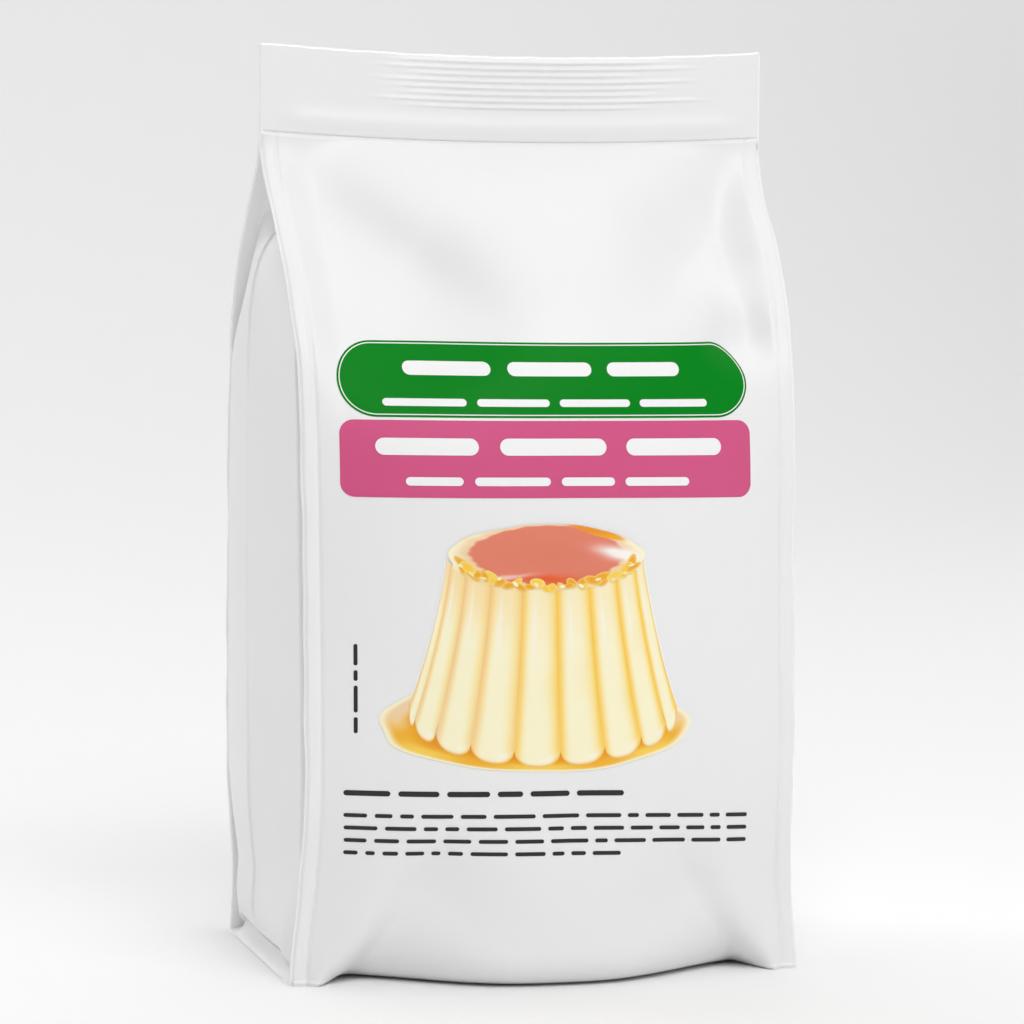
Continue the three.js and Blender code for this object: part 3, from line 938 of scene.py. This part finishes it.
# %% Camera
PHOTO_PIXELS = 1024
SENSOR = 36
VIEW_TURN, VIEW_RISE, VIEW_ROLL = -14.5, 4.0, 0.6
VIEW_DISTANCE = 0.92
FOCAL_PIXELS = 4105.6
CENTRE_OFFSET = (-3.2, -11.7)
aim = Vector((0, BAND_Y * MM, HEIGHT * MM / 2))

camera = bpy.data.objects.new("camera", bpy.data.cameras.new("camera"))
bpy.context.scene.collection.objects.link(camera)
turn = Euler((math.radians(90 - VIEW_RISE), 0, math.radians(VIEW_TURN))).to_matrix()
roll = Matrix.Rotation(math.radians(VIEW_ROLL), 3, "Z")
stand = Matrix.Translation(aim + turn @ Vector((0, 0, VIEW_DISTANCE)))
camera.matrix_world = stand @ (turn @ roll).to_4x4()
camera.data.sensor_width = SENSOR
camera.data.lens = FOCAL_PIXELS * SENSOR / PHOTO_PIXELS
camera.data.shift_x = -CENTRE_OFFSET[0] / PHOTO_PIXELS
camera.data.shift_y = CENTRE_OFFSET[1] / PHOTO_PIXELS
camera.data.clip_start = 0.01
bpy.context.scene.camera = camera
print("lens", round(camera.data.lens, 1), "mm")

# %% [markdown]
# ## Studio
# A pale sweep stands under and behind the bag. The key is a wide soft box in front and above, with a
# second one to its right. Weaker boxes stand along the right side and behind the left one, and draw the
# fins' edges. A large box overhead and one behind keep the paper bright, and a dim white surround fills
# the rest. White film shows its shape by small steps of grey, so the lamps are set against each other.


# %% Floor and surround
def sweep(width, front, back, rise, radius):
    """A floor that turns up into a wall: a straight line, a quarter circle and a straight line."""
    bend = np.linspace(0, math.pi / 2, 24)
    y = np.concatenate([[front], back - radius + radius * np.sin(bend), [back]])
    z = np.concatenate([[0], radius - radius * np.cos(bend), [rise]])
    x = np.linspace(-width / 2, width / 2, 9)[None, :]
    return np.stack([x + 0 * y[:, None], y[:, None] + 0 * x, z[:, None] + 0 * x], axis=-1)


GRAIN_SIZE, GRAIN_DEPTH = 0.003, 0.0001


def matt_paper():
    """Seamless background paper: pale, quite matt, with a faint tooth."""
    material = bpy.data.materials.new("seamless_paper")
    material.use_nodes = True
    tree = material.node_tree
    shader = tree.nodes["Principled BSDF"]
    place = add(tree, "ShaderNodeTexCoord").outputs["Object"]
    tooth = add(tree, "ShaderNodeTexNoise", {"Vector": place, "Scale": 1 / GRAIN_SIZE})
    grain = {"Height": tooth.outputs["Fac"], "Distance": GRAIN_DEPTH, "Strength": 0.1}
    relief = add(tree, "ShaderNodeBump", grain).outputs["Normal"]
    tree.links.new(relief, shader.inputs["Normal"])
    shader.inputs["Base Color"].default_value = rgba("#F6F6F6")
    shader.inputs["Roughness"].default_value = 0.9
    shader.inputs["Specular IOR Level"].default_value = 0.1
    return material


grid = sweep(6.0, -3.0, 2.2, 3.0, 1.0)
mesh = bpy.data.meshes.new("floor")
mesh.from_pydata(grid.reshape(-1, 3), [], grid_quads(*grid.shape[:2], 0))
mesh.shade_smooth()
mesh.materials.append(matt_paper())
floor = bpy.data.objects.new("floor", mesh)
bpy.context.scene.collection.objects.link(floor)

world = bpy.data.worlds.new("surround")
world.use_nodes = True
world.node_tree.nodes["Background"].inputs["Color"].default_value = (1, 1, 1, 1)
world.node_tree.nodes["Background"].inputs["Strength"].default_value = 0.2
bpy.context.scene.world = world

# %% Lamps
# turn round the bag (0 is in front, positive to its right), rise, distance, width, height, watts
LAMP_AIM = Vector((0, 0, 0.1))
LAMPS = {
    "key": (-6, 41, 1.7, 0.9, 0.6, 9.8),
    "key_right": (20, 50, 1.7, 0.6, 0.6, 4.2),
    "fill_right": (45, 15, 1.6, 0.7, 0.9, 1.4),
    "side_right": (75, 10, 1.4, 0.6, 0.9, 0.8),
    "back_right": (110, 10, 1.4, 0.6, 0.9, 3.0),
    "side_left": (-128, 16, 1.4, 0.7, 0.9, 4.2),
    "overhead": (180, 85, 1.6, 1.6, 1.6, 10.8),
    "backdrop": (180, 25, 1.9, 2.4, 1.2, 9.5),
}


def soft_box(name, turn, rise, distance, width, height, watts):
    """A rectangular area lamp that faces the middle of the bag from a turn and a rise in degrees."""
    lamp = bpy.data.lights.new(name, "AREA")
    lamp.shape = "RECTANGLE"
    lamp.size, lamp.size_y = width, height
    lamp.energy = watts
    turn, rise = math.radians(turn), math.radians(rise)
    away = Vector((math.sin(turn) * math.cos(rise), -math.cos(turn) * math.cos(rise), math.sin(rise)))
    box = bpy.data.objects.new(name, lamp)
    box.location = LAMP_AIM + distance * away
    box.rotation_euler = away.to_track_quat("Z", "Y").to_euler()
    bpy.context.scene.collection.objects.link(box)


for name, setting in LAMPS.items():
    soft_box(name, *setting)

scene = bpy.context.scene
scene.view_settings.view_transform = "Standard"
scene.view_settings.look = "None"
